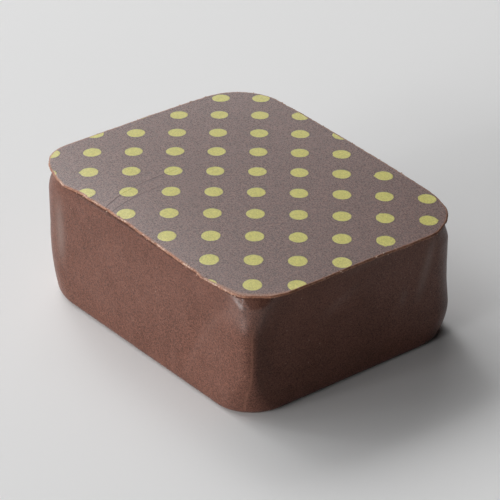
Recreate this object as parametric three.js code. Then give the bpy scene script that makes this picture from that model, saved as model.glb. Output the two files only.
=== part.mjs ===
// A dipped milk chocolate praline with a thin printed top, in millimetres, +Z up.
// It stands on its flat base. X runs along the long sides and Y along the short ones.
import * as THREE from 'three';

// Whole piece.
const HEIGHT = 12.2; // base to the crown of the printed face
const SEAM_HEIGHT = 10.9; // flat joint between the coated body and the printed top
const CORNERS = [[-1, -1], [1, -1], [1, 1], [-1, 1]]; // signs of X and Y, front left first
const NEAR_CORNER = 1; // front right, the sharpest one

// Printed top: a thin plate whose lip stands a little proud of the body.
const TOP_LENGTH = 32.0;
const TOP_WIDTH = 24.33;
const TOP_CORNER_RADII = [4.7, 4.7, 5.3, 4.6];
const TOP_FALL_X = Math.tan(THREE.MathUtils.degToRad(0.58)); // it leans slightly down towards +X
const TOP_FALL_Y = Math.tan(THREE.MathUtils.degToRad(0.25)); // and less towards +Y
const CROWN_ALONG_X = 0.00156; // fall of its crown per square millimetre from the middle
const CROWN_ALONG_Y = 0.00151;
const LIP_THICKNESS = 0.2;
const LIP_EDGE_ROUNDING = 0.05;
const FACE_ROLL = { // the face falls off a little more towards two of its edges
  left: { start: -9.0, run: 7.0, depth: 0.06 },
  front: { start: -6.0, run: 6.2, depth: 0.09 },
};
const LIP_SWELL = { middle: -10.6, reach: 1.6, depth: 0.36 }; // front side, where the body pushes out

// Coated body: the side faces are upright, and each corner has its own softness.
const BODY_HALF_LENGTH = 15.1;
const BODY_HALF_WIDTH = 11.88;
const BODY_SHIFT = new THREE.Vector2(0.03, -0.385); // middle of the body from the middle of the top
const BODY_TURN = THREE.MathUtils.degToRad(0.69);
const FRONT_SLANT = 0.0057; // the front side face is not quite square to the right one
const RIGHT_SLANT = 0.006;
const FOOT_FLARE = 0.25; // the sides widen this much towards the base
const BASE_ROUNDING = 0.6;
const NECK_INSET = 0.12; // below the lip the sides draw in by this much
const NECK_RADII = [4.55, 4.3, 4.8, 4.5]; // and the corners are as round as this
const NECK_DEPTHS = [1.6, 1.0, 2.0, 1.6]; // from there down to the full width of the body
const NECK_CURVES = [1.5, 2.6, 1.3, 1.5]; // the higher, the closer under the lip the widening comes
const MIDDLE_RADII = [3.7, 0.8, 2.9, 3.0];
const FOOT_RADII = [6.1, 4.0, 5.2, 5.2];
const FOOT_HEIGHTS = [5.8, 4.5, 3.1, 4.6]; // where each corner starts to soften towards the base
const FOOT_CURVE = 1.6;
const FLARE_HEIGHT = 6.7;

// How finely the surfaces are divided.
const CORNER_STEPS = 10;
const SIDE_STEPS = 5;
const WALL_STEPS = 16;
const NECK_STEPS = 5;
const COLLAR_STEPS = 3;
const ROUNDING_STEPS = 5;
const TOP_RINGS = 7;

const CHOCOLATE = new THREE.MeshStandardMaterial({ color: 0x6b4a41, roughness: 0.45 });
const PRINTED_CHOCOLATE = new THREE.MeshStandardMaterial({ color: 0x77625f, roughness: 0.35 });

const { clamp, lerp, smoothstep } = THREE.MathUtils;

// Points of a rounded rectangle, anticlockwise from the front left corner. Every outline has
// the same number of points, so that outlines can be joined into a surface.
function roundedOutline(halfLength, halfWidth, radii) {
  const arcs = CORNERS.map(([signX, signY], i) => {
    const start = Math.PI + i * Math.PI / 2;
    const x = signX * (halfLength - radii[i]);
    const y = signY * (halfWidth - radii[i]);
    return new THREE.EllipseCurve(x, y, radii[i], radii[i], start, start + Math.PI / 2);
  });
  return arcs.flatMap((arc, i) => {
    const side = new THREE.LineCurve(arc.getPoint(1), arcs[(i + 1) % arcs.length].getPoint(0));
    return [...arc.getPoints(CORNER_STEPS), ...side.getPoints(SIDE_STEPS).slice(1, -1)];
  });
}

// How much the printed face falls off beyond the start of a roll.
function rollDrop(place, { start, run, depth }) {
  return depth * Math.max((start - place) / run, 0) ** 2;
}

// Height of the printed face over a point of the plan.
function topHeight(x, y) {
  const lean = TOP_FALL_X * x + TOP_FALL_Y * y;
  const crown = CROWN_ALONG_X * x * x + CROWN_ALONG_Y * y * y;
  return HEIGHT - lean - crown - rollDrop(x, FACE_ROLL.left) - rollDrop(y, FACE_ROLL.front);
}

// The plan of the printed top, drawn in by an inset, with the swelling of its front side.
function topOutline(inset) {
  const radii = TOP_CORNER_RADII.map((radius) => radius - inset);
  const points = roundedOutline(TOP_LENGTH / 2 - inset, TOP_WIDTH / 2 - inset, radii);
  return points.map((point) => {
    const distance = (point.x - LIP_SWELL.middle) / LIP_SWELL.reach;
    const swell = point.y < 0 ? LIP_SWELL.depth * Math.exp(-distance * distance) : 0;
    return new THREE.Vector2(point.x, point.y - swell);
  });
}

// Underside of the lip at a corner.
function lipHeight(corner) {
  const [signX, signY] = CORNERS[corner];
  const tuck = TOP_CORNER_RADII[corner] * (1 - Math.SQRT1_2);
  return topHeight(signX * (TOP_LENGTH / 2 - tuck), signY * (TOP_WIDTH / 2 - tuck)) - LIP_THICKNESS;
}

// 0 under the lip, 1 where the neck has reached the full width of the body.
function neckProgress(corner, height) {
  const depth = clamp((lipHeight(corner) - height) / NECK_DEPTHS[corner], 0, 1);
  return 1 - (1 - depth) ** NECK_CURVES[corner];
}

function bodyRadius(corner, height) {
  const wall = lerp(NECK_RADII[corner], MIDDLE_RADII[corner], neckProgress(corner, height));
  const lowness = clamp(1 - height / FOOT_HEIGHTS[corner], 0, 1);
  return wall + (FOOT_RADII[corner] - MIDDLE_RADII[corner]) * lowness ** FOOT_CURVE;
}

// A point of the body's plan with the slant of its front and right side faces.
function slanted({ x, y }) {
  const forward = Math.max(-y / BODY_HALF_WIDTH, 0);
  const right = Math.max(x / BODY_HALF_LENGTH, 0);
  return new THREE.Vector2(x + RIGHT_SLANT * y * right, y + FRONT_SLANT * x * forward);
}

// The plan of the body, given a height at each corner, drawn in by an inset.
function bodyOutline(heights, inset = 0) {
  const neck = neckProgress(NEAR_CORNER, heights[NEAR_CORNER]);
  const flare = FOOT_FLARE * (1 - smoothstep(Math.min(...heights), 0, FLARE_HEIGHT));
  const reach = flare - inset - NECK_INSET * (1 - neck);
  const radii = heights.map((height, corner) => bodyRadius(corner, height) - inset);
  const points = roundedOutline(BODY_HALF_LENGTH + reach, BODY_HALF_WIDTH + reach, radii);
  const ownMiddle = new THREE.Vector2();
  return points.map((point) => slanted(point).rotateAround(ownMiddle, BODY_TURN).add(BODY_SHIFT));
}

// A level ring round the body.
function levelRing(height, inset = 0) {
  const points = bodyOutline(CORNERS.map(() => height), inset);
  return points.map(({ x, y }) => new THREE.Vector3(x, y, height));
}

// A ring between the flat joint (share 0) and the underside of the lip (share 1).
function collarRing(share) {
  const points = bodyOutline(CORNERS.map((signs, corner) => lerp(SEAM_HEIGHT, lipHeight(corner), share)));
  return points.map(({ x, y }) => {
    const underLip = topHeight(x, y) - LIP_THICKNESS;
    return new THREE.Vector3(x, y, lerp(SEAM_HEIGHT, underLip, share));
  });
}

// A ring that follows the printed face at a distance below it.
const topRing = (points, drop) => points.map(({ x, y }) => new THREE.Vector3(x, y, topHeight(x, y) - drop));

// A closed body through rings of equal length, from the lowest to the highest, with both ends
// closed by a fan about a point.
function closedLoft(rings, lowest, highest) {
  const count = rings[0].length;
  const points = [...rings.flat(), lowest, highest];
  const lowestIndex = points.length - 2;
  const highestIndex = points.length - 1;
  const lastRing = (rings.length - 1) * count;
  const indices = [];
  for (let i = 0; i < count; i += 1) {
    const next = (i + 1) % count;
    indices.push(lowestIndex, next, i);
    indices.push(highestIndex, lastRing + i, lastRing + next);
    for (let base = 0; base < lastRing; base += count) {
      indices.push(base + i, base + next, base + count + next);
      indices.push(base + i, base + count + next, base + count + i);
    }
  }
  const geometry = new THREE.BufferGeometry().setFromPoints(points);
  geometry.setIndex(indices);
  geometry.computeVertexNormals();
  return geometry;
}

function coatedBody() {
  const rings = [];
  for (let i = 0; i < ROUNDING_STEPS; i += 1) {
    const angle = (i / ROUNDING_STEPS) * Math.PI / 2;
    const height = BASE_ROUNDING * (1 - Math.cos(angle));
    rings.push(levelRing(height, BASE_ROUNDING * (1 - Math.sin(angle))));
  }
  const shoulder = SEAM_HEIGHT - Math.max(...NECK_DEPTHS);
  for (let i = 0; i < WALL_STEPS; i += 1) {
    const height = lerp(BASE_ROUNDING, shoulder, i / WALL_STEPS);
    rings.push(levelRing(height));
  }
  for (let i = 0; i <= NECK_STEPS; i += 1) {
    const height = lerp(shoulder, SEAM_HEIGHT, i / NECK_STEPS);
    rings.push(levelRing(height));
  }
  const { x, y } = BODY_SHIFT;
  return closedLoft(rings, new THREE.Vector3(x, y, 0), new THREE.Vector3(x, y, SEAM_HEIGHT));
}

function printedTop() {
  const rings = [];
  for (let i = 0; i <= COLLAR_STEPS; i += 1) {
    rings.push(collarRing(i / COLLAR_STEPS));
  }
  rings.push(topRing(topOutline(LIP_EDGE_ROUNDING), LIP_THICKNESS));
  rings.push(topRing(topOutline(0), LIP_THICKNESS - LIP_EDGE_ROUNDING));
  rings.push(topRing(topOutline(0), LIP_EDGE_ROUNDING));
  const edge = topOutline(LIP_EDGE_ROUNDING);
  for (let i = 0; i < TOP_RINGS; i += 1) {
    const scale = 1 - i / TOP_RINGS;
    rings.push(topRing(edge.map((point) => point.clone().multiplyScalar(scale)), 0));
  }
  const { x, y } = BODY_SHIFT;
  return closedLoft(rings, new THREE.Vector3(x, y, SEAM_HEIGHT), new THREE.Vector3(0, 0, HEIGHT));
}

function piece(name, geometry, material) {
  const mesh = new THREE.Mesh(geometry, material);
  mesh.name = name;
  return mesh;
}

const praline = new THREE.Group();
praline.add(piece('coated_body', coatedBody(), CHOCOLATE));
praline.add(piece('printed_top', printedTop(), PRINTED_CHOCOLATE));

// The origin is on the base, under the middle of the whole piece.
const middle = new THREE.Box3().setFromObject(praline).getCenter(new THREE.Vector3());
praline.position.set(-middle.x, -middle.y, 0);

export default praline;
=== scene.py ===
"""Looks of a dipped milk chocolate praline with a thin printed top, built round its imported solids.

Sizes in the classes are millimetres; a mesh becomes metres when it is finished. X runs along the
long sides, Y along the short ones and Z up from the flat base.
"""

import logging
import math
import random
from collections.abc import Callable
from dataclasses import dataclass
from enum import Enum
from functools import cached_property

import bmesh
import bpy
from mathutils import Matrix, Vector, noise


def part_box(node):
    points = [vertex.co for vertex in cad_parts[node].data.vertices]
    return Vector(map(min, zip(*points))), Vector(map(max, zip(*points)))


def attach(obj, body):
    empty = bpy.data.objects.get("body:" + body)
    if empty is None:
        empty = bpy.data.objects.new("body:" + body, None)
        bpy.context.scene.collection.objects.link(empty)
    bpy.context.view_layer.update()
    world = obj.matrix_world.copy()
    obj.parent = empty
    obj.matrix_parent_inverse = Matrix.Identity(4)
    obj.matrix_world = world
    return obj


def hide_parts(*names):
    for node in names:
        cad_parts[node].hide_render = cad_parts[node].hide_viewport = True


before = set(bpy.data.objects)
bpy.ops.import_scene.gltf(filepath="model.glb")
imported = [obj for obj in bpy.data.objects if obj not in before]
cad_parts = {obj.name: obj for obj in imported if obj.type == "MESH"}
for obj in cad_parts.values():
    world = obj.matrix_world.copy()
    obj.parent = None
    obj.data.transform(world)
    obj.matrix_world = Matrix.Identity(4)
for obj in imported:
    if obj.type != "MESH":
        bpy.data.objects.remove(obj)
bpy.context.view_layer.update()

MM = 0.001
BODY = "root"
CORNER_SIGNS = ((-1, -1), (1, -1), (1, 1), (-1, 1))  # of X and Y, front left first
NEAR = 1  # the corner nearest the camera
Colour = tuple[float, float, float, float]
Span = tuple[float, float]

log = logging.getLogger("praline")


def clamped(value: float) -> float:
    """Returns a value held between 0 and 1."""
    return min(max(value, 0.0), 1.0)


def smooth_share(value: float, low: float, high: float) -> float:
    """Gives 0 below low, 1 above high and an eased share between them.

    Args:
        value: The number to place.
        low: Where the share starts to rise.
        high: Where it reaches 1.

    Returns:
        The eased share.
    """
    share = clamped((value - low) / (high - low))
    return share * share * (3.0 - 2.0 * share)


def mix(first: float, second: float, share: float) -> float:
    """Returns the number that lies a share of the way from first to second."""
    return first + (second - first) * share


def bell(distance: float, reach: float) -> float:
    """Returns a bell curve's height at a distance from its middle."""
    return math.exp(-((distance / reach) ** 2))


def shares(count: int) -> list[float]:
    """Returns even shares between 0 and 1, without the two ends."""
    return [(step + 1) / (count + 1) for step in range(count)]


def raised(point: Vector, height: float) -> Vector:
    """Returns a point of the plan at a height."""
    return Vector((point.x, point.y, height))


# Shader maths


def math_operator(operation: str, reflected: bool = False) -> Callable:
    """Makes one of a wire's operators.

    Args:
        operation: The operation of the Math node that it adds.
        reflected: Whether the wire comes second.

    Returns:
        The operator, as a method of Wire.
    """

    def operator(wire: "Wire", other: "Wire | float") -> "Wire":
        """Adds the Math node and returns its result."""
        first, second = (other, wire) if reflected else (wire, other)
        return wire.bench.add("ShaderNodeMath", {0: first, 1: second}, operation=operation)

    return operator


class Wire:
    """A shader socket that can stand in a Python expression."""

    def __init__(self, bench: "Bench", socket: bpy.types.NodeSocket) -> None:
        """Keeps the bench that holds the node and the socket it gives."""
        self.bench = bench
        self.socket = socket

    __add__ = math_operator("ADD")
    __radd__ = math_operator("ADD", reflected=True)
    __sub__ = math_operator("SUBTRACT")
    __rsub__ = math_operator("SUBTRACT", reflected=True)
    __mul__ = math_operator("MULTIPLY")
    __rmul__ = math_operator("MULTIPLY", reflected=True)
    __truediv__ = math_operator("DIVIDE")
    __pow__ = math_operator("POWER")
    larger = math_operator("MAXIMUM")

    def passed(self, operation: str) -> "Wire":
        """Returns this value after an operation on it alone."""
        return self.bench.add("ShaderNodeMath", {0: self}, operation=operation)

    def part(self, axis: str) -> "Wire":
        """Returns one coordinate of a vector."""
        return self.bench.add("ShaderNodeSeparateXYZ", {0: self}, output=axis)


def ramp(wire: Wire, start: float, gain: float) -> Wire:
    """Returns a start plus a gain times a wire."""
    return start + wire * gain


def weighted(wires: list[Wire], weights: tuple, start: float = 0.0) -> Wire:
    """Returns a start plus each wire times its weight."""
    return sum((wire * weight for wire, weight in zip(wires, weights)), start)


@dataclass(frozen=True)
class Waves:
    """Smooth noise: waves in a millimetre, octaves of detail and the strength of the finer ones."""

    scale: float
    detail: float = 2.0
    rough: float = 0.5


@dataclass(frozen=True)
class Spots:
    """Scattered spots: their mean distance, their radius and the share of them that is there."""

    cell: float
    radius: float
    kept: float


class Bench:
    """A material's node tree, with one way to add a node."""

    def __init__(self, name: str) -> None:
        """Makes an empty material."""
        self.material = bpy.data.materials.new(name)
        self.material.use_nodes = True
        self.tree = self.material.node_tree
        self.tree.nodes.clear()

    def add(
        self, kind: str, inputs: dict | None = None, output: int | str = 0, **settings: object
    ) -> Wire:
        """Adds a node.

        Args:
            kind: The node's type.
            inputs: Values or wires by socket name or number.
            output: The socket that is returned.
            **settings: The node's own settings, which are set first.

        Returns:
            The chosen output.
        """
        node = self.tree.nodes.new(kind)
        for name, value in settings.items():
            setattr(node, name, value)
        for key, value in (inputs or {}).items():
            if isinstance(value, Wire):
                self.tree.links.new(value.socket, node.inputs[key])
            else:
                node.inputs[key].default_value = value
        return Wire(self, node.outputs[output])

    def place(self, centre: tuple = (0, 0, 0), turn: float = 0.0, scale: float = 1.0) -> Wire:
        """Gives the place on the piece in millimetres, centred and turned about Z.

        Args:
            centre: The point that becomes the origin, in millimetres.
            turn: The angle of the new X axis, in radians.
            scale: The length of one unit, in millimetres.

        Returns:
            The vector in the new axes.
        """
        spot = self.add("ShaderNodeTexCoord", output="Object")
        sockets = {0: spot, 1: [c * MM for c in centre], 2: (0, 0, turn), 3: (MM * scale,) * 3}
        return self.add("ShaderNodeMapping", sockets, vector_type="TEXTURE")

    @cached_property
    def spot(self) -> Wire:
        """The place on the piece, in millimetres."""
        return self.place()

    @cached_property
    def flat(self) -> Wire:
        """The place on the piece without its height."""
        sockets = {0: self.spot, 1: (1.0, 1.0, 0.0)}
        return self.add("ShaderNodeVectorMath", sockets, operation="MULTIPLY")

    def away(self, x: float, y: float) -> Wire:
        """Returns the distance in plan from a point, in millimetres."""
        sockets = {0: self.flat, 1: (x, y, 0.0)}
        return self.add("ShaderNodeVectorMath", sockets, output=1, operation="DISTANCE")

    def mark(self, name: str) -> Wire:
        """Returns a number that the mesh keeps for its finish."""
        return self.add("ShaderNodeAttribute", output="Fac", attribute_name=name)

    def noise(self, waves: Waves) -> Wire:
        """Returns smooth noise around 0.5."""
        sockets = {"Scale": waves.scale, "Detail": waves.detail, "Roughness": waves.rough}
        return self.add("ShaderNodeTexNoise", {"Vector": self.spot, **sockets})

    def grit(self, grain: float) -> Wire:
        """Returns a number from 0 to 1 that changes from grain to grain."""
        sockets = {"Vector": self.spot, "Scale": 1.0 / grain}
        return self.add("ShaderNodeTexVoronoi", sockets, output="Color").part("X")

    def specks(self, spots: Spots) -> Wire:
        """Scatters small spots, as 1 in a spot and 0 outside.

        Args:
            spots: Their distance, size and share.

        Returns:
            The mask of the spots.
        """
        sockets = {"Vector": self.spot, "Scale": 1.0 / spots.cell}
        near = self.add("ShaderNodeTexVoronoi", sockets, output="Distance")
        colour = self.add("ShaderNodeTexVoronoi", sockets, output="Color")
        size = spots.radius / spots.cell
        there = self.step(colour.part("X"), 1.0 - spots.kept, 1.0)
        return self.fall(near, 0.5 * size, size) * there

    def step(self, value: Wire, low: float, high: float) -> Wire:
        """Returns an eased step from 0 at low to 1 at high."""
        sockets = {"Value": value, "From Min": low, "From Max": high}
        return self.add("ShaderNodeMapRange", sockets, interpolation_type="SMOOTHSTEP")

    def fall(self, value: Wire, low: float, high: float) -> Wire:
        """Returns an eased step from 1 at low to 0 at high."""
        return 1.0 - self.step(value, low, high)

    def band(self, value: Wire, rise: Span, end: Span) -> Wire:
        """Returns a band that rises from 0 to 1 over one span and falls back over another."""
        return self.step(value, *rise) * self.fall(value, *end)

    def blend(self, share: Wire, first: "Wire | Colour", second: "Wire | Colour") -> Wire:
        """Mixes two colours."""
        sockets = {0: share, 6: first, 7: second}
        return self.add("ShaderNodeMix", sockets, output=2, data_type="RGBA")

    def layered(self, colour: Wire, *layers: tuple) -> Wire:
        """Lays colours over a first one.

        Args:
            colour: The lowest colour.
            *layers: A mask and a colour each, the lowest first.

        Returns:
            The colour of them all.
        """
        for mask, tone in layers:
            colour = self.blend(mask, colour, tone)
        return colour

    def tint(self, colour: Wire, factor: Wire) -> Wire:
        """Makes a colour lighter or darker."""
        return self.add("ShaderNodeVectorMath", {0: colour, "Scale": factor}, operation="SCALE")

    def finish(self, shader: dict, height: Wire, relief: float) -> bpy.types.Material:
        """Closes the material with one Principled shader.

        Args:
            shader: Values or wires of the shader's sockets.
            height: The surface's fine height, in shares of the relief.
            relief: How far a height of 1 reaches, in millimetres.

        Returns:
            The finished material.
        """
        sockets = {"Height": height, "Strength": 1.0, "Distance": relief * MM}
        bump = self.add("ShaderNodeBump", sockets)
        self.add_output(self.add("ShaderNodeBsdfPrincipled", {**shader, "Normal": bump}))
        return self.material

    def add_output(self, surface: Wire) -> None:
        """Links a surface to the material's output."""
        node = self.tree.nodes.new("ShaderNodeOutputMaterial")
        self.tree.links.new(surface.socket, node.inputs["Surface"])


# Finishes


@dataclass(frozen=True)
class DippedChocolate:
    """The coating: satin milk chocolate with a fine grain, faint clouds, pale specks and pale
    streaks that are partly scuffs and partly painted sheen.
    """

    marks: tuple = ("worn", "scuff_and_sheen", "smooth")
    brown: Colour = (0.134, 0.058, 0.041, 1)
    cloud: Colour = (0.116, 0.049, 0.034, 1)
    speck: Colour = (0.31, 0.18, 0.14, 1)
    worn: Colour = (0.26, 0.12, 0.08, 1)
    # Pale streak colour: scuffs, and painted sheen where the streaks stand for reflections.
    scuff_and_sheen: Colour = (0.24, 0.18, 0.16, 1)
    cloud_share: float = 0.8
    worn_share: float = 0.33
    scuff_and_sheen_share: float = 0.5
    scuff_and_sheen_evenness: float = 0.6
    speck_shares: Span = (0.9, 0.5)  # of the specks and the dust
    fine: Waves = Waves(9.5, rough=0.75)
    lumps: Waves = Waves(2.2)
    clouds: Waves = Waves(0.32)
    cloud_edges: Span = (0.35, 0.7)
    grain: float = 0.08
    specks: Spots = Spots(1.1, 0.085, 0.6)
    dust: Spots = Spots(0.42, 0.075, 0.5)
    brightness: float = 0.6
    brightening: Span = (1.5, 0.8)  # by the fine noise and the grit
    worn_raggedness: float = 1.2
    worn_edges: Span = (0.3, 0.9)
    roughness: float = 0.36
    roughening: tuple = (0.05, 0.12, 0.1)  # by the clouds, the fine noise and the pale streaks (scuffs and painted sheen)
    shine: float = 0.18
    coat: float = 0.9
    coat_roughness: float = 0.42
    relief: float = 0.03
    heights: tuple = (0.6, 0.12, 0.9, 0.3)  # of the fine noise, the grit, the lumps and the specks

    def material(self) -> bpy.types.Material:
        """Builds the coating's material.

        Returns:
            The material.
        """
        bench = Bench("dipped_chocolate")
        fine, grit = bench.noise(self.fine), bench.grit(self.grain)
        clouds = bench.step(bench.noise(self.clouds), *self.cloud_edges)
        specks, dust = bench.specks(self.specks), bench.specks(self.dust)
        worn, scuff_and_sheen, smooth = (bench.mark(name) for name in self.marks)
        spread = fine - 0.5
        broken = bench.step(worn + spread * self.worn_raggedness, *self.worn_edges)
        colour = bench.blend(clouds * self.cloud_share, self.brown, self.cloud)
        colour = bench.layered(
            bench.tint(colour, weighted([spread, grit], self.brightening, self.brightness)),
            (broken * self.worn_share, self.worn),
            # Pale streaks: partly scuffs, partly painted sheen.
            (scuff_and_sheen * (self.scuff_and_sheen_evenness + fine) * self.scuff_and_sheen_share, self.scuff_and_sheen),
            (weighted([specks, dust], self.speck_shares), self.speck),
        )
        shader = {
            "Base Color": colour,
            "Roughness": weighted([clouds - 0.5, spread, scuff_and_sheen], self.roughening, self.roughness),
            "Specular IOR Level": self.shine,
            "Coat Weight": smooth * self.coat,
            "Coat Roughness": self.coat_roughness,
        }
        height = weighted([fine, grit, bench.noise(self.lumps), specks], self.heights)
        return bench.finish(shader, height, self.relief)


@dataclass(frozen=True)
class DotFlaw:
    """A spot where the edge of one printed dot runs out, or is bitten where its rise is below 0."""

    x: float
    y: float
    radius: float
    rise: float


@dataclass(frozen=True)
class PrintedDots:
    """The flush print: a turned square lattice of dots, each with a thin dark line round it."""

    centre: tuple = (1.83, -0.137, 0.0)
    pitch: float = 3.683
    turn: float = math.radians(51.09)
    diameter: float = 1.61
    blur: float = 0.035
    ring_rise: Span = (-0.02, 0.05)
    ring_end: Span = (0.06, 0.16)
    waves: tuple = (Waves(1.3, 1.0), Waves(6.0, 1.0))
    wobble: Span = (0.10, 0.07)  # of the edge, by each of the waves
    flaws: tuple = (
        DotFlaw(-10.81, -9.94, 0.2, 0.16),
        DotFlaw(-13.81, -6.55, 0.2, 0.12),
        DotFlaw(5.44, 10.08, 0.18, 0.14),
        DotFlaw(0.26, 9.53, 0.22, -0.14),
        DotFlaw(2.17, -0.9, 0.18, 0.1),
        DotFlaw(10.85, 6.25, 0.2, 0.13),
        DotFlaw(15.12, 3.28, 0.2, 0.13),
        DotFlaw(14.35, 9.68, 0.2, 0.14),
        DotFlaw(13.5, 8.3, 0.2, -0.12),
    )

    def masks(self, bench: Bench) -> tuple[Wire, Wire]:
        """Draws the lattice.

        Args:
            bench: The material's bench.

        Returns:
            The mask of the dots and the mask of the lines round them.
        """
        cell = bench.place(self.centre, self.turn, self.pitch)
        turned = [(cell.part(axis) + 0.5).passed("FRACT") - 0.5 for axis in "XY"]
        across, up = (fraction * self.pitch for fraction in turned)
        distance = (across * across + up * up) ** 0.5
        wobble = weighted([bench.noise(waves) - 0.5 for waves in self.waves], self.wobble)
        for flaw in self.flaws:
            wobble = wobble - bench.fall(bench.away(flaw.x, flaw.y), 0.0, flaw.radius) * flaw.rise
        edge = distance + wobble - self.diameter / 2
        ring = bench.band(edge, self.ring_rise, self.ring_end)
        return bench.fall(edge, -self.blur, self.blur), ring


@dataclass(frozen=True)
class FilmLine:
    """A fine arc that a fold of the film pressed across the face, as X over tenths of Y."""

    terms: tuple
    depth: float

    def path(self, along: Wire) -> Wire:
        """Gives the line's X.

        Args:
            along: The place's Y.

        Returns:
            The X at that Y.
        """
        *lower, total = self.terms
        tenths = along * 0.1
        for term in reversed(lower):
            total = total * tenths + term
        return total


@dataclass(frozen=True)
class FilmFolds:
    """The marks of the film's folds: dark lines, each with a pale one beside it."""

    lines: tuple = (
        FilmLine((-5.42, 0.782, 0.434, -0.103, 0.692), 1.0),
        FilmLine((-3.487, 1.396, 0.396, -0.115, 0.569), 0.8),
    )
    wander: Waves = Waves(0.8, 1.0)
    wander_reach: float = 0.12
    fading: Span = (-9.5, 9.0)
    faded_share: float = 0.6
    patches: Waves = Waves(1.1)
    patchiness: Span = (0.55, 0.9)
    dark_edge: Span = (0.02, 0.09)
    pale_edge: Span = (0.03, 0.11)
    pale_shift: float = 0.13

    def masks(self, bench: Bench) -> tuple[Wire, Wire]:
        """Draws the lines.

        Args:
            bench: The material's bench.

        Returns:
            The masks of the dark lines and of the pale ones.
        """
        across, along = bench.spot.part("X"), bench.spot.part("Y")
        wander = (bench.noise(self.wander) - 0.5) * self.wander_reach
        fading = 1.0 - bench.step(along, *self.fading) * self.faded_share
        held = fading * ramp(bench.noise(self.patches), *self.patchiness)
        dark = pale = 0.0
        for line in self.lines:
            gap = across - line.path(along) + wander
            beside = (gap + self.pale_shift).passed("ABSOLUTE")
            dark = (bench.fall(gap.passed("ABSOLUTE"), *self.dark_edge) * line.depth).larger(dark)
            pale = (bench.fall(beside, *self.pale_edge) * line.depth).larger(pale)
        return dark * held, pale * held


@dataclass(frozen=True)
class RubbedRim:
    """The band beside the rim where the print is rubbed thin, widest at the near corner."""

    corner: Span = (14.4, -10.6)
    corner_reach: Span = (1.5, 4.5)
    width: float = 0.22
    corner_growth: float = 0.4
    edges: Span = (0.25, 1.0)

    def strength(self, bench: Bench, margin: Wire) -> Wire:
        """Returns how thin the print is at a distance from the rim, from 0 to 1."""
        near = bench.fall(bench.away(*self.corner), *self.corner_reach)
        return bench.fall(margin / ramp(near, self.width, self.corner_growth), *self.edges)


@dataclass(frozen=True)
class BrokenLip:
    """The raw chocolate of the broken lip, with dark and pale crumbly patches; along the front it is
    paler still, partly crumbs and bloom and partly a painted highlight.
    """

    raw: Colour = (0.36, 0.165, 0.095, 1)
    dark: Colour = (0.21, 0.088, 0.052, 1)
    # Pale crumbs and bloom; on the front this colour is also a painted highlight.
    pale: Colour = (0.60, 0.47, 0.38, 1)
    margin: float = 0.12
    blur: float = 0.03
    ragged: Waves = Waves(1.1, 3.0)
    raggedness: Span = (0.28, 0.2)  # by its own waves and the fine noise
    runs: Waves = Waves(0.42)
    run_edges: Span = (0.42, 0.58)
    crumbs: Waves = Waves(5.0, 3.0, 0.7)
    dark_edges: Span = (0.4, 0.62)
    pale_edges: Span = (0.6, 0.8)
    edge_rise: Span = (-0.13, -0.05)
    edge_end: Span = (0.0, 0.07)
    highlit_front_y: Span = (-11.9, -10.9)
    highlit_front_x: Span = (-12.4, -10.8)
    highlight_and_creaminess: Span = (0.12, 0.88)  # painted highlight and cream all along the front, and more in its runs
    edge_paleness_and_highlight: Span = (0.04, 0.24)  # all round, and more where the front is highlit and creamy
    # Share of the pale colour all round, and more on the front, where it is partly painted
    # highlight.
    pale_share: Span = (0.35, 0.6)

    def mask(self, bench: Bench, margin: Wire, spread: Wire) -> Wire:
        """Returns 1 on the raw lip and 0 on the print, from the margin and the fine noise."""
        ragged = weighted([bench.noise(self.ragged) - 0.5, spread], self.raggedness)
        return bench.fall(margin + ragged - self.margin, -self.blur, self.blur)

    def colour(self, bench: Bench, margin: Wire) -> Wire:
        """Colours the lip.

        Args:
            bench: The material's bench.
            margin: The distance from the rim, below 0 on the lip's side.

        Returns:
            The colour.
        """
        runs = bench.step(bench.noise(self.runs), *self.run_edges)
        crumbly = bench.noise(self.crumbs)
        on_edge = bench.band(margin, self.edge_rise, self.edge_end)
        # Along the front the lip is paler: partly crumbs and bloom, partly a painted highlight where
        # light strikes the rough edge.
        front = bench.fall(bench.spot.part("Y"), *self.highlit_front_y)
        front = front * bench.step(bench.spot.part("X"), *self.highlit_front_x)
        highlit_and_creamy = front * ramp(runs, *self.highlight_and_creaminess)
        pale = bench.step(crumbly + on_edge * ramp(highlit_and_creamy, *self.edge_paleness_and_highlight), *self.pale_edges)
        colour = bench.blend(bench.step(crumbly, *self.dark_edges), self.dark, self.raw)
        return bench.blend(pale * ramp(highlit_and_creamy, *self.pale_share), colour, self.pale)


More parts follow.
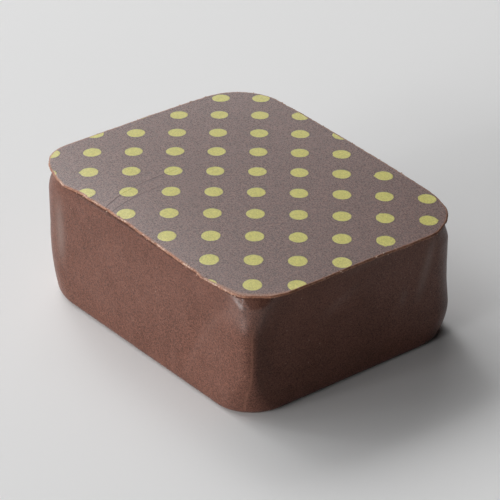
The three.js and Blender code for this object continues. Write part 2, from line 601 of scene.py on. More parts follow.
@dataclass(frozen=True)
class PrintedChocolate:
    """The top: chocolate set against a film, with a flush print of dots and a raw broken edge."""

    marks: tuple = ("margin",)
    brown: Colour = (0.144, 0.077, 0.065, 1)
    shade: Colour = (0.129, 0.068, 0.057, 1)
    dot: Colour = (0.50, 0.462, 0.072, 1)
    # Paler dot colour: painted sheen near the rim, and random paleness.
    dot_paler_with_sheen: Colour = (0.56, 0.518, 0.135, 1)
    outline: Colour = (0.05, 0.025, 0.04, 1)
    speck: Colour = (0.34, 0.21, 0.17, 1)
    dots: PrintedDots = PrintedDots()
    folds: FilmFolds = FilmFolds()
    rubbed: RubbedRim = RubbedRim()
    lip: BrokenLip = BrokenLip()
    fine: Waves = Waves(8.5, rough=0.7)
    clouds: Waves = Waves(0.25, 3.0)
    cloud_edges: Span = (0.3, 0.75)
    cloud_share: float = 0.7
    grain: float = 0.1
    specks: Spots = Spots(0.8, 0.07, 0.5)
    brightness: float = 0.54
    brightening: Span = (1.25, 0.92)  # by the fine noise and the grit
    dot_brightness: float = 0.84
    dot_brightening: Span = (0.5, 0.32)
    dot_sheen_rim: Span = (0.3, 3.0)
    dot_sheen_and_paleness: Span = (0.7, 0.3)  # painted sheen near the rim, and random paleness by the fine noise
    ring_share: float = 0.5
    dark_share: float = 0.5
    pale_share: float = 0.12
    speck_share: float = 0.4
    haze_share: float = 0.75
    haze_grain: Span = (0.55, 0.9)
    roughness: float = 0.28
    roughening: tuple = (0.12, -0.03, 0.22, 0.1)  # fine noise, dots, raw lip, dark lines
    shine: float = 0.42
    relief: float = 0.012
    # Of the fine noise, grit, clouds, dots, dark lines, pale lines and the lip's own fine noise.
    heights: tuple = (0.9, 0.25, 0.6, 0.35, -1.2, 0.4, -1.0)

    def material(self) -> bpy.types.Material:
        """Builds the printed top's material.

        Returns:
            The material.
        """
        bench = Bench("printed_chocolate")
        dots, ring = self.dots.masks(bench)
        dark, pale = self.folds.masks(bench)
        fine, grit = bench.noise(self.fine), bench.grit(self.grain)
        clouds = bench.noise(self.clouds)
        spread = fine - 0.5
        margin = bench.mark(*self.marks)
        raw = self.lip.mask(bench, margin, spread)
        haze = self.rubbed.strength(bench, margin) * ramp(fine, *self.haze_grain)
        cloudy = bench.step(clouds, *self.cloud_edges) * self.cloud_share
        brown = bench.blend(cloudy, self.brown, self.shade)
        # Dots are paler near the rim: painted sheen; the fine noise adds random paleness.
        sheen_and_paleness = weighted([bench.fall(margin, *self.dot_sheen_rim), fine], self.dot_sheen_and_paleness)
        yellow = bench.blend(sheen_and_paleness, self.dot, self.dot_paler_with_sheen)
        dot_tone = weighted([spread, grit], self.dot_brightening, self.dot_brightness)
        colour = bench.layered(
            bench.tint(brown, weighted([spread, grit], self.brightening, self.brightness)),
            (ring * self.ring_share, self.outline),
            (dark * self.dark_share, self.outline),
            (pale * self.pale_share, self.speck),
            (dots, bench.tint(yellow, dot_tone)),
            (bench.specks(self.specks) * self.speck_share, self.speck),
            (haze * self.haze_share, self.lip.raw),
            (raw, self.lip.colour(bench, margin)),
        )
        shader = {
            "Base Color": colour,
            "Roughness": weighted([spread, dots, raw, dark], self.roughening, self.roughness),
            "Specular IOR Level": self.shine,
        }
        height = weighted([fine, grit, clouds, dots, dark, pale, raw * fine], self.heights)
        return bench.finish(shader, height, self.relief)


@dataclass(frozen=True)
class RawCrumb:
    """Loose crumbs of the broken lip: dry chocolate, paler than the coating."""

    pale: Colour = (0.58, 0.44, 0.35, 1)
    brown: Colour = (0.30, 0.145, 0.10, 1)
    patches: Waves = Waves(2.2)
    patch_edges: Span = (0.35, 0.65)
    fine: Waves = Waves(9.0)
    roughness: float = 0.6
    shine: float = 0.4
    relief: float = 0.02

    def material(self) -> bpy.types.Material:
        """Builds the crumbs' material.

        Returns:
            The material.
        """
        bench = Bench("raw_crumb")
        patches = bench.step(bench.noise(self.patches), *self.patch_edges)
        shader = {
            "Base Color": bench.blend(patches, self.pale, self.brown),
            "Roughness": self.roughness,
            "Specular IOR Level": self.shine,
        }
        return bench.finish(shader, bench.noise(self.fine), self.relief)


# Shapes


class Wall(Enum):
    """A wall of the piece, by the way that it faces in plan."""

    FRONT = (0.0, -1.0)
    RIGHT = (1.0, 0.0)
    BACK = (0.0, 1.0)
    LEFT = (-1.0, 0.0)

    @property
    def outward(self) -> Vector:
        """The direction that the wall faces."""
        return Vector(self.value)

    @property
    def along(self) -> Vector:
        """The direction along the wall, anticlockwise round the piece."""
        return Vector((-self.value[1], self.value[0]))


@dataclass(frozen=True)
class Swelling:
    """A soft rise of a wall, or a dent where its rise is below 0."""

    wall: Wall
    along: float
    height: float
    reach_along: float
    reach_up: float
    rise: float
    lean: float = 0.0

    def at(self, point: Vector, facing: Vector) -> float:
        """Gives how far the wall moves out at a point.

        Args:
            point: The point on the wall.
            facing: The wall's own direction in plan there.

        Returns:
            The distance in millimetres.
        """
        side = facing.dot(self.wall.outward)
        if side <= 0.0:
            return 0.0
        aside = point.xy.dot(self.wall.along) - self.along
        above = point.z - self.height
        turn = math.radians(self.lean)
        across = aside * math.cos(turn) + above * math.sin(turn)
        upward = above * math.cos(turn) - aside * math.sin(turn)
        return self.rise * side * bell(across, self.reach_along) * bell(upward, self.reach_up)


@dataclass(frozen=True)
class RimSwell:
    """A place where the rim of the plate runs out a little, or in where its rise is below 0."""

    x: float
    y: float
    reach: float
    rise: float

    def at(self, point: Vector) -> float:
        """Returns how far the rim moves out at a point of the plan."""
        return self.rise * bell((point - Vector((self.x, self.y))).length, self.reach)


@dataclass(frozen=True)
class NearCorner:
    """The corner nearest the camera: it pokes out below a shoulder that slants down the front."""

    x: float = 15.3
    y: float = -12.2
    shoulder: float = 10.85
    front_fall: float = 0.125
    right_fall: float = 0.02
    edge_width: float = 1.0
    edge_span: Span = (-0.3, 0.7)  # in shares of the edge's width
    softening: float = 0.2
    lean_height: float = 2.3
    lean_share: float = 0.3
    valley: float = 0.24
    valley_start: Span = (0.6, 2.4)
    valley_end: Span = (6.0, 9.5)
    gentle_side: float = 1.2
    steep_side: float = 0.7
    bend_start: float = 12.8
    bend_depths: Span = (3.0, 7.0)
    low_cut: float = 0.3
    low_rise: Span = (1.6, 4.4)
    high_cut: float = 0.95
    high_rise: Span = (7.9, 10.7)
    push: float = 0.44
    push_reach: float = 2.2
    push_start: Span = (11.5, 15.0)
    smooth_inset: Span = (0.4, 0.8)
    smooth_reach: float = 2.0
    smooth_rise: Span = (7.8, 10.0)

    def above(self, point: Vector) -> tuple[float, float]:
        """Gives a point's place against the shoulder's line.

        Args:
            point: A point of the wall.

        Returns:
            Its distance from the corner along the front, below 0 on the right wall, and how far it
            lies above the line.
        """
        front, right = max(self.x - point.x, 0.0), max(point.y - self.y, 0.0)
        fall, away = (self.front_fall, front) if front > right else (self.right_fall, right)
        slope = 2.0 * fall * away
        gap = (point.z - self.shoulder + fall * away * away) / math.hypot(1.0, slope)
        return (away if front > right else -away), gap

    def share(self, point: Vector) -> float:
        """Gives how much of the sharp corner shows.

        Args:
            point: A point of the wall.

        Returns:
            0 above the shoulder and up to 1 below it.
        """
        away, gap = self.above(point)
        soft = self.edge_width + self.softening * abs(away)
        leaning = self.lean_share * clamped(1.0 + gap / self.lean_height) ** 2
        blunt = smooth_share(gap, *(edge * soft for edge in self.edge_span))
        return (1.0 - leaning) * (1.0 - blunt)

    def moved(self, point: Vector, height: float) -> Vector:
        """Bends the front in towards the edge and pushes the right wall out beside it.

        Args:
            point: A point of the plan.
            height: Its height above the base.

        Returns:
            The point's place in the bent plan.
        """
        rise = smooth_share(height, *self.low_rise)
        cut = self.low_cut * rise + self.high_cut * smooth_share(height, *self.high_rise)
        bend = max((point.x - self.bend_start) / (self.x - self.bend_start), 0.0) ** 2
        fore = 1.0 - smooth_share(point.y, *(self.y + depth for depth in self.bend_depths))
        beside = bell(max(point.y - self.y, 0.0), self.push_reach)
        push = self.push * rise * beside * smooth_share(point.x, *self.push_start)
        return Vector((point.x + push, point.y + cut * bend * fore))

    def smoothness(self, point: Vector) -> float:
        """Gives how smooth the coating set.

        Args:
            point: A point of the wall.

        Returns:
            The smoothness, which comes near to 1 at the top of the edge.
        """
        inset_x, inset_y = self.smooth_inset
        away = (point.xy - Vector((self.x - inset_x, self.y + inset_y))).length
        return bell(away, self.smooth_reach) * smooth_share(point.z, *self.smooth_rise)

    def dip(self, point: Vector) -> float:
        """Gives how far the front draws in along the shoulder's line.

        Args:
            point: A point of the wall.

        Returns:
            The distance in millimetres, below 0 where it draws in.
        """
        away, gap = self.above(point)
        held = smooth_share(away, *self.valley_start) * (1.0 - smooth_share(away, *self.valley_end))
        return -self.valley * held * bell(gap, self.gentle_side if gap > 0.0 else self.steep_side)


@dataclass(frozen=True)
class ScuffAndSheen:
    """A pale streak on a wall, from one point to another, fainter towards its ends; some are scuffs,
    some painted sheen.
    """

    start: tuple
    end: tuple
    reach: float
    strength: float
    fading: float = 0.7

    def at(self, point: Vector) -> float:
        """Gives how strong the streak is at a point of the wall.

        Args:
            point: A point of the wall.

        Returns:
            The strength.
        """
        start, end = Vector(self.start), Vector(self.end)
        run = end - start
        share = clamped((point - start).dot(run) / run.length_squared)
        faded = 1.0 - abs(2.0 * share - 1.0) ** 2 * self.fading
        return self.strength * faded * bell((point - start - run * share).length, self.reach)


@dataclass(frozen=True)
class WornEdge:
    """The near upright edge, where the coating is rubbed thin along a fine line."""

    first_step: float = 26.0
    last_step: float = 34.0
    step_rise: Span = (0.5, 6.5)
    foot: Span = (0.1, 0.6)
    top: Span = (8.0, 9.6)
    line: float = 0.09
    halo: float = 0.5
    halo_share: float = 0.3

    def wear(self, ring: list[Vector], corner: int) -> list[float]:
        """Marks the points of a ring.

        Args:
            ring: The points of the ring.
            corner: The number of the near corner's first point.

        Returns:
            The wear of each point, from 0 to 1.
        """
        rise = smooth_share(ring[corner].z, *self.step_rise)
        ridge = ring[corner + round(mix(self.first_step, self.last_step, rise))]
        foot = smooth_share(ridge.z, *self.foot)
        upper = 1.0 - smooth_share(ridge.z, *self.top)
        wear = []
        for point in ring:
            away = (point - ridge).length
            halo = self.halo_share * bell(away, self.halo)
            wear.append(foot * (bell(away, self.line) * upper + halo))
        return wear


@dataclass(frozen=True)
class RoundedPlan:
    """Outlines of a rounded rectangle, all with the same number of points."""

    corner_steps: int
    long_steps: int
    short_steps: int

    @property
    def count(self) -> int:
        """The number of points in an outline."""
        return 2 * (2 * self.corner_steps + self.long_steps + self.short_steps)

    def outline(self, half_length: float, half_width: float, radii: list[float]) -> list[Vector]:
        """Places an outline's points, anticlockwise from the front left corner.

        Args:
            half_length: Half of the size along X.
            half_width: Half of the size along Y.
            radii: The radius of each corner, front left first.

        Returns:
            The points in plan.
        """
        arcs = []
        for corner, (sign_x, sign_y) in enumerate(CORNER_SIGNS):
            radius = radii[corner]
            centre = Vector((sign_x * (half_length - radius), sign_y * (half_width - radius)))
            quarters = [corner + k / self.corner_steps for k in range(self.corner_steps + 1)]
            angles = [math.pi + quarter * math.pi / 2 for quarter in quarters]
            arcs.append([centre + radius * Vector((math.cos(a), math.sin(a))) for a in angles])
        points = []
        for corner, arc in enumerate(arcs):
            steps = self.short_steps if corner % 2 else self.long_steps
            end = arcs[(corner + 1) % 4][0]
            points += arc
            points += [arc[-1].lerp(end, k / steps) for k in range(1, steps)]
        return points


def facings(points: list[Vector]) -> list[Vector]:
    """Gives the direction that a closed outline faces at each point.

    Args:
        points: The outline, anticlockwise.

    Returns:
        The outward directions in plan.
    """
    count = len(points)
    directions = []
    for index in range(count):
        run = points[(index + 1) % count].xy - points[index - 1].xy
        directions.append(Vector((run.y, -run.x)).normalized())
    return directions


class RingSkin:
    """A closed skin that is drawn up from a circle, ring by ring."""

    def __init__(self, count: int, marks: tuple[str, ...]) -> None:
        """Starts the mesh with one ring.

        Args:
            count: The number of points in a ring.
            marks: Names of the numbers that each point keeps for its finish.
        """
        self.mesh = bmesh.new()
        self.station = self.mesh.verts.layers.int.new("station")
        self.marks = [self.mesh.verts.layers.float.new(name) for name in marks]
        made = bmesh.ops.create_circle(self.mesh, cap_ends=False, segments=count, radius=1.0)
        self.ring = made["verts"]
        for index, vertex in enumerate(self.ring):
            vertex[self.station] = index
        self.first = list(self.ring)
        self.edges = list(self.mesh.edges)
        self.started = False

    def add(self, points: list[Vector], *marks: list[float] | float) -> None:
        """Draws the skin on to one more ring.

        Args:
            points: The new ring's points.
            *marks: The numbers of its points for each mark, or one number for them all. Without
                them every mark is 0.
        """
        if self.started:
            made = bmesh.ops.extrude_edge_only(self.mesh, edges=self.edges)["geom"]
            self.ring = [item for item in made if isinstance(item, bmesh.types.BMVert)]
            fresh = set(self.ring)
            edges = [item for item in made if isinstance(item, bmesh.types.BMEdge)]
            self.edges = [edge for edge in edges if fresh.issuperset(edge.verts)]
        self.started = True
        columns = marks or (0.0,) * len(self.marks)
        for vertex in self.ring:
            index = vertex[self.station]
            vertex.co = points[index]
            for layer, column in zip(self.marks, columns):
                vertex[layer] = column[index] if isinstance(column, list) else column

    def close(self, lowest: Vector, highest: Vector) -> bmesh.types.BMesh:
        """Draws both ends together to a point.

        Args:
            lowest: Where the first ring closes.
            highest: Where the last ring closes.

        Returns:
            The closed mesh.
        """
        bmesh.ops.pointmerge(self.mesh, verts=self.first, merge_co=lowest)
        bmesh.ops.pointmerge(self.mesh, verts=self.ring, merge_co=highest)
        bmesh.ops.recalc_face_normals(self.mesh, faces=self.mesh.faces)
        return self.mesh


def linked(name: str, data: bpy.types.ID) -> bpy.types.Object:
    """Adds an object to the scene.

    Args:
        name: Its name.
        data: The mesh, light or camera that it shows.

    Returns:
        The object.
    """
    made = bpy.data.objects.new(name, data)
    bpy.context.scene.collection.objects.link(made)
    return made


def finished_piece(
    name: str, mesh: bmesh.types.BMesh, material: bpy.types.Material
) -> bpy.types.Object:
    """Turns a mesh in millimetres into a smooth piece that rides on the body.

    Args:
        name: The piece's name.
        mesh: Its mesh, which is used up.
        material: Its finish.

    Returns:
        The piece.
    """
    bmesh.ops.scale(mesh, vec=(MM, MM, MM), verts=mesh.verts)
    data = bpy.data.meshes.new(name)
    for face in mesh.faces:
        face.smooth = True
    mesh.to_mesh(data)
    mesh.free()
    data.materials.append(material)
    piece = linked(name, data)
    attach(piece, BODY)
    log.info("%s: %d faces", name, len(data.polygons))
    return piece


def cad_size(node: str) -> tuple[Vector, Vector]:
    """Returns a node's lowest and highest corner in millimetres."""
    low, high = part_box(node)
    return low / MM, high / MM


@dataclass(frozen=True)
class FaceRoll:
    """How the printed face falls off towards an edge: from where, how slowly and how deep."""

    start: float
    run: float
    depth: float

    def drop(self, place: float) -> float:
        """Returns how far the face has fallen at a place on the way to the edge."""
        return self.depth * max((self.start - place) / self.run, 0.0) ** 2


@dataclass(frozen=True)
class TopForm:
    """The printed top's plan and face, which the body below follows too."""

    length: float
    centre: Vector
    width: float = 24.33  # without the swells of its rim
    plan: RoundedPlan = RoundedPlan(76, 250, 180)
    crown_height: float = 12.2
    radii: tuple = (4.7, 4.7, 5.3, 4.6)
    fall_x: float = math.tan(math.radians(0.58))
    fall_y: float = math.tan(math.radians(0.25))
    crown_x: float = 0.00156
    crown_y: float = 0.00151
    lip_thickness: float = 0.2
    front_roll: FaceRoll = FaceRoll(-6.0, 6.2, 0.09)
    left_roll: FaceRoll = FaceRoll(-9.0, 7.0, 0.06)
    swells: tuple = (
        RimSwell(-9.9, -12.0, 1.3, 0.34),
        RimSwell(-12.6, -11.7, 0.9, -0.1),
        RimSwell(-15.2, -9.6, 1.2, 0.2),
        RimSwell(-6.6, -12.0, 0.4, 0.08),
        RimSwell(-3.8, -12.0, 0.8, -0.07),
        RimSwell(-1.0, -12.0, 1.3, -0.1),
        RimSwell(8.5, -12.0, 0.5, -0.09),
        RimSwell(9.6, -12.0, 0.45, 0.08),
        RimSwell(11.9, -11.8, 1.1, -0.22),
        RimSwell(13.1, -11.6, 0.5, -0.06),
        RimSwell(15.1, -10.2, 0.8, -0.12),
        RimSwell(16.0, -4.0, 2.5, 0.08),
        RimSwell(16.0, 4.5, 2.0, 0.08),
        RimSwell(15.4, 9.6, 0.8, -0.08),
        RimSwell(14.8, 10.9, 1.2, -0.06),
        RimSwell(12.0, 12.4, 1.2, -0.15),
        RimSwell(-7.5, 12.4, 2.4, 0.06),
        RimSwell(-16.0, -1.6, 2.8, -0.06),
        RimSwell(-16.0, -8.4, 1.2, 0.1),
    )

    @classmethod
    def from_frame(cls) -> "TopForm":
        """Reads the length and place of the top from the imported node.

        Returns:
            The form.
        """
        low, high = cad_size("printed_top")
        middle = Vector(((low.x + high.x) / 2, high.y - cls.width / 2))
        return cls(high.x - low.x, middle)

    def height(self, point: Vector) -> float:
        """Gives the height of the printed face.

        Args:
            point: A point of the plan.

        Returns:
            The height above the base.
        """
        x, y = point.xy - self.centre
        crown = self.crown_x * x * x + self.crown_y * y * y
        rolled = self.left_roll.drop(x) + self.front_roll.drop(y)
        return self.crown_height - self.fall_x * x - self.fall_y * y - crown - rolled

    def lip_height(self, corner: int) -> float:
        """Gives the height of the lip's underside at a corner.

        Args:
            corner: The corner's number, with 0 at the front left.

        Returns:
            The height above the base.
        """
        sign_x, sign_y = CORNER_SIGNS[corner]
        tuck = self.radii[corner] * (1.0 - math.sqrt(0.5))
        tip = Vector((sign_x * (self.length / 2 - tuck), sign_y * (self.width / 2 - tuck)))
        return self.height(tip + self.centre) - self.lip_thickness

    def outline(self, inset: float) -> list[Vector]:
        """Places the outline of the plate.

        Args:
            inset: How far it is drawn in.

        Returns:
            The points in plan.
        """
        radii = [radius - inset for radius in self.radii]
        points = self.plan.outline(self.length / 2 - inset, self.width / 2 - inset, radii)
        points = [point + self.centre for point in points]
        placed = []
        for point, facing in zip(points, facings(points)):
            placed.append(point + facing * sum(swell.at(point) for swell in self.swells))
        return placed


@dataclass(frozen=True)
class CoatedBody:
    """The dipped block: upright walls, corners of their own softness and a drawn-in neck."""

    top: TopForm
    half_length: float = 15.1
    half_width: float = 11.88
    shift: Span = (0.03, -0.385)
    turn: float = math.radians(0.69)
    front_slant: float = 0.0057
    right_slant: float = 0.006
    foot_flare: float = 0.25
    flare_height: float = 6.7
    base_rounding: float = 0.6
    neck_inset: float = 0.12
    neck_radii: tuple = (4.55, 4.3, 4.8, 4.5)
    neck_depths: tuple = (1.6, 1.0, 2.0, 1.6)
    neck_curves: tuple = (1.5, 2.6, 1.3, 1.5)
    middle_radii: tuple = (3.7, 1.0, 2.9, 3.0)
    foot_radii: tuple = (6.1, 4.0, 5.2, 5.2)
    foot_heights: tuple = (5.8, 4.5, 3.1, 4.6)
    foot_curve: float = 1.6
    near_corner: NearCorner = NearCorner()
    near_neck_radius: float = 2.5
    worn_edge: WornEdge = WornEdge()
    plan: RoundedPlan = RoundedPlan(54, 150, 104)
    wall_rings: int = 100
    ring_crowding: float = 1.4  # towards the lip
    rounding_rings: int = 8
    cap_rings: int = 5
    unevenness: float = 0.04
    uneven_waves: Span = (0.22, 0.7)  # in a millimetre
    second_wave_share: float = 0.4
    flat_foot: float = 1.5
    swellings: tuple = (
        Swelling(Wall.FRONT, -5.5, 2.2, 5.0, 1.0, -0.10),
        Swelling(Wall.FRONT, 0.3, 1.3, 0.9, 0.7, 0.05),
        Swelling(Wall.FRONT, 5.0, 1.6, 1.0, 0.8, -0.05),
        Swelling(Wall.FRONT, 12.3, 6.0, 2.2, 3.5, 0.08),
        Swelling(Wall.RIGHT, 8.6, 8.0, 0.8, 3.5, 0.07, -12.0),
        Swelling(Wall.RIGHT, 0.5, 9.0, 3.5, 0.9, 0.05, 28.0),
        Swelling(Wall.RIGHT, 3.0, 1.6, 1.6, 0.8, -0.07),
        Swelling(Wall.BACK, 3.0, 5.0, 3.0, 4.0, 0.06, 20.0),
        Swelling(Wall.BACK, -8.0, 3.0, 2.5, 2.0, -0.07),
        Swelling(Wall.LEFT, 4.0, 7.0, 1.2, 4.0, 0.06, -15.0),
        Swelling(Wall.LEFT, -5.0, 2.0, 3.0, 1.5, -0.07),
    )
    # The first five streaks, at the front's left end and on the right wall, are painted sheen:
    # reflections painted into the colour. The last two are scuffs.
    scuffs_and_sheens: tuple = (
        ScuffAndSheen((-11.0, -12.2, 10.0), (-10.8, -12.2, 4.0), 0.7, 0.9),
        ScuffAndSheen((15.2, 8.9, 11.0), (15.4, 7.1, 5.2), 0.5, 0.9),
        ScuffAndSheen((15.2, 5.6, 6.6), (15.4, 5.2, 5.0), 0.4, 0.35),
        ScuffAndSheen((15.2, -1.0, 10.6), (15.2, 5.5, 11.1), 0.45, 0.3),
        ScuffAndSheen((15.2, 0.3, 9.0), (15.3, -3.5, 7.2), 0.5, 0.25),
        ScuffAndSheen((-8.0, 11.7, 8.0), (-10.5, 11.8, 4.0), 0.5, 0.6),
        ScuffAndSheen((-15.2, 3.0, 9.0), (-15.3, 1.0, 4.5), 0.5, 0.5),
    )

    @property
    def centre(self) -> Vector:
        """The middle of the body in plan."""
        return Vector(self.shift) + self.top.centre

    def neck(self, corner: int, height: float) -> float:
        """Returns 0 under the lip and 1 where the body has its full width."""
        depth = (self.top.lip_height(corner) - height) / self.neck_depths[corner]
        return 1.0 - (1.0 - clamped(depth)) ** self.neck_curves[corner]

    def middle_radius(self, corner: int, height: float) -> float:
        """Gives a corner's radius, leaving out the neck.

        Args:
            corner: The corner's number.
            height: The height above the base.

        Returns:
            The radius.
        """
        lowness = clamped(1.0 - height / self.foot_heights[corner])
        grown = (self.foot_radii[corner] - self.middle_radii[corner]) * lowness**self.foot_curve
        return self.middle_radii[corner] + grown

    def outline(self, heights: list[float], inset: float = 0.0) -> list[Vector]:
        """Places the plan of the body.

        Args:
            heights: The height above the base at each corner.
            inset: How far the outline is drawn in.

        Returns:
            The points, each at the height between those of its corners.
        """
        necks = [self.neck(corner, height) for corner, height in enumerate(heights)]
        flare = self.foot_flare * (1.0 - smooth_share(min(heights), 0.0, self.flare_height))
        reach = flare - inset - self.neck_inset * (1.0 - necks[NEAR])
        full = [self.middle_radius(corner, height) for corner, height in enumerate(heights)]
        corners = zip(self.neck_radii, full, necks)
        radii = [mix(narrow, wide, neck) - inset for narrow, wide, neck in corners]
        plans = []
        for radius in (full[NEAR], self.near_neck_radius):
            radii[NEAR] = radius - inset
            sizes = (self.half_length + reach, self.half_width + reach)
            plans.append(self.plan.outline(*sizes, radii))
        points = []
        for sharp, blunt in zip(*plans):
            spot = self.placed(sharp).to_3d()
            spot.z = self.level(spot, heights)
            placed = self.placed(blunt.lerp(sharp, self.near_corner.share(spot)))
            points.append(raised(self.near_corner.moved(placed, spot.z), spot.z))
        return points

    def placed(self, point: Vector) -> Vector:
        """Gives the plan the walls' slight slant, and turns and shifts it.

        Args:
            point: A point of the upright plan.

        Returns:
            The point's place on the praline.
        """
        forward = max(-point.y / self.half_width, 0.0)
        right = max(point.x / self.half_length, 0.0)
        x = point.x + self.right_slant * point.y * right
        y = point.y + self.front_slant * point.x * forward
        return Matrix.Rotation(self.turn, 2) @ Vector((x, y)) + self.centre

    def level(self, point: Vector, heights: list[float]) -> float:
        """Gives the height of a ring at a point.

        Args:
            point: The point in plan.
            heights: The ring's heights at the corners.

        Returns:
            The height above the base.
        """
        right = 0.5 + (point.x - self.centre.x) / (2.0 * self.half_length)
        back = 0.5 + (point.y - self.centre.y) / (2.0 * self.half_width)
        return mix(mix(heights[0], heights[1], right), mix(heights[3], heights[2], right), back)

    def relief(self, point: Vector, facing: Vector) -> float:
        """Gives the unevenness that a dipped wall keeps.

        Args:
            point: The point on the wall.
            facing: The wall's direction in plan there.

        Returns:
            How far the wall stands out, in millimetres.
        """
        first, second = (noise.noise(point * waves) for waves in self.uneven_waves)
        slow = first + self.second_wave_share * second
        held = smooth_share(point.z, 0.0, self.flat_foot)
        marks = sum(swelling.at(point, facing) for swelling in self.swellings)
        return self.unevenness * slow * held + marks + self.near_corner.dip(point)

    def wall_ring(self, points: list[Vector]) -> list[Vector]:
        """Adds the relief of the walls to a ring.

        Args:
            points: The even ring.

        Returns:
            The ring with its relief.
        """
        ring = []
        for point, facing in zip(points, facings(points)):
            ring.append(point + (facing * self.relief(point, facing)).to_3d())
        return ring

    def marks(self, ring: list[Vector]) -> tuple[list[float], ...]:
        """Marks the points of a ring for the finish.

        Args:
            ring: The points of the ring.

        Returns:
            The wear, the scuffs and painted sheen, and the smoothness of each point.
        """
        worn = self.worn_edge.wear(ring, self.plan.corner_steps + self.plan.long_steps)
        # Pale streaks: scuffs and painted sheen.
        rubbed = [sum(scuff_and_sheen.at(point) for scuff_and_sheen in self.scuffs_and_sheens) for point in ring]
        smooth = [self.near_corner.smoothness(point) for point in ring]
        return worn, rubbed, smooth

    def wall_heights(self, share: float) -> list[float]:
        """Returns the height over each corner of a ring between the base and the lip."""
        lips = [self.top.lip_height(corner) for corner in range(4)]
        return [mix(self.base_rounding, lip, share) for lip in lips]

    def build(self, finish: DippedChocolate) -> bpy.types.Object:
        """Builds the coated body.

        Args:
            finish: The coating's finish.

        Returns:
            The piece that stands for the coated body.
        """
        skin = RingSkin(self.plan.count, finish.marks)
        centre = self.centre.to_3d()
        sole = self.outline([0.0] * 4, self.base_rounding)
        for share in shares(self.cap_rings):
            skin.add([centre.lerp(point, share) for point in sole])
        for step in range(self.rounding_rings):
            angle = step / self.rounding_rings * math.pi / 2
            height = self.base_rounding * (1.0 - math.cos(angle))
            points = self.outline([height] * 4, self.base_rounding * (1.0 - math.sin(angle)))
            skin.add(self.wall_ring(points))
        for step in range(self.wall_rings + 1):
            share = 1.0 - (1.0 - step / self.wall_rings) ** self.ring_crowding
            ring = self.wall_ring(self.outline(self.wall_heights(share)))
            skin.add(ring, *self.marks(ring))
        rim = self.outline(self.wall_heights(1.0))
        peak = raised(centre, self.top.height(centre) - self.top.lip_thickness)
        for share in shares(self.cap_rings):
            ring = [peak.lerp(point, 1.0 - share) for point in rim]
            for point in ring:
                point.z = self.top.height(point) - self.top.lip_thickness
            skin.add(ring)
        mesh = skin.close(centre, peak)
        piece = finished_piece("praline_coating", mesh, finish.material())
        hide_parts("coated_body")
        return piece


@dataclass(frozen=True)
class PrintedPlate:
    """The thin printed top with its broken lip and the hidden plug that it stands on."""

    top: TopForm
    seam_height: float
    plug_inset: float = 2.4
    under_inset: float = 0.5
    under_breakage: float = 0.3
    edge_rounding: float = 0.05
    rim_share: float = 0.3
    rim_breakage: float = 0.9
    lip_rings: int = 6
    face_insets: tuple = (0.09, 0.14, 0.2, 0.28, 0.4, 0.6, 0.9, 1.4)
    face_rings: int = 22
    breakage_reach: float = 0.3
    chipping: float = 0.045
    chip_waves: tuple = ((0.45, 0.6), (1.3, 0.7), (3.4, 0.9), (7.0, 0.6))  # and their shares
    chip_loss: float = 0.15
    layer_spread: float = 0.5
    ragged: float = 0.05
    ragged_waves: float = 2.2
    ragged_level: float = 7.0

    def broken(self, point: Vector, level: float) -> float:
        """Gives how far the lip stands out where it broke off unevenly.

        Args:
            point: A point of the lip in plan.
            level: Its place in the lip's thickness, from 0 below to 1 above.

        Returns:
            The distance in millimetres, below 0 where a chip is gone.
        """
        spot = raised(point, level * self.layer_spread)
        chips = sum(noise.noise(spot * waves) * share for waves, share in self.chip_waves)
        return self.chipping * (chips - self.chip_loss)

    def lip_ring(self, inset: float, drop: float, level: float, weight: float) -> list[Vector]:
        """Places a ring of the lip.

        Args:
            inset: How far the ring is drawn in.
            drop: How far it lies below the printed face.
            level: Its place in the lip's thickness, from 0 below to 1 above.
            weight: The share of the breakage that it takes.

        Returns:
            The ring's points.
        """
        points = self.top.outline(inset)
        ring = []
        for point, facing in zip(points, facings(points)):
            moved = point + facing * self.broken(point, level) * weight
            wave = noise.noise(raised(point, self.ragged_level) * self.ragged_waves)
            ragged = wave * self.ragged * (1.0 - level) * weight
            ring.append(raised(moved, self.top.height(moved) - drop + ragged))
        return ring

    def build(self, finish: PrintedChocolate) -> bpy.types.Object:
        """Builds the printed top.

        Args:
            finish: The top's finish.

        Returns:
            The piece that stands for the printed top.
        """
        skin = RingSkin(self.top.plan.count, finish.marks)
        centre = self.top.centre
        under = -1.0
        plug = [raised(point, self.seam_height) for point in self.top.outline(self.plug_inset)]
        seam = raised(centre, self.seam_height)
        skin.add([seam.lerp(point, 0.5) for point in plug], under)
        skin.add(plug, under)
        thickness = self.top.lip_thickness
        skin.add(self.lip_ring(self.plug_inset, thickness, 0.0, 0.0), under)
        skin.add(self.lip_ring(self.under_inset, thickness, 0.0, self.under_breakage), under)
        for step in range(self.lip_rings + 1):
            level = step / self.lip_rings
            drop = mix(thickness, self.edge_rounding, level)
            bulge = self.edge_rounding * (2.0 * level - 1.0) ** 4
            skin.add(self.lip_ring(bulge, drop, level, 1.0), -drop)
        rim = self.edge_rounding * self.rim_share
        skin.add(self.lip_ring(rim, rim, 1.0, self.rim_breakage), 0.0)
        for inset in self.face_insets:
            skin.add(self.lip_ring(inset, 0.0, 1.0, bell(inset, self.breakage_reach)), inset)
        innermost = self.face_insets[-1]
        edge = self.top.outline(innermost)
        for share in shares(self.face_rings):
            inner = [centre.lerp(point, 1.0 - share) for point in edge]
            skin.add([raised(point, self.top.height(point)) for point in inner], innermost)
        mesh = skin.close(seam, raised(centre, self.top.height(centre)))
        piece = finished_piece("printed_plate", mesh, finish.material())
        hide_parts("printed_top")
        return piece


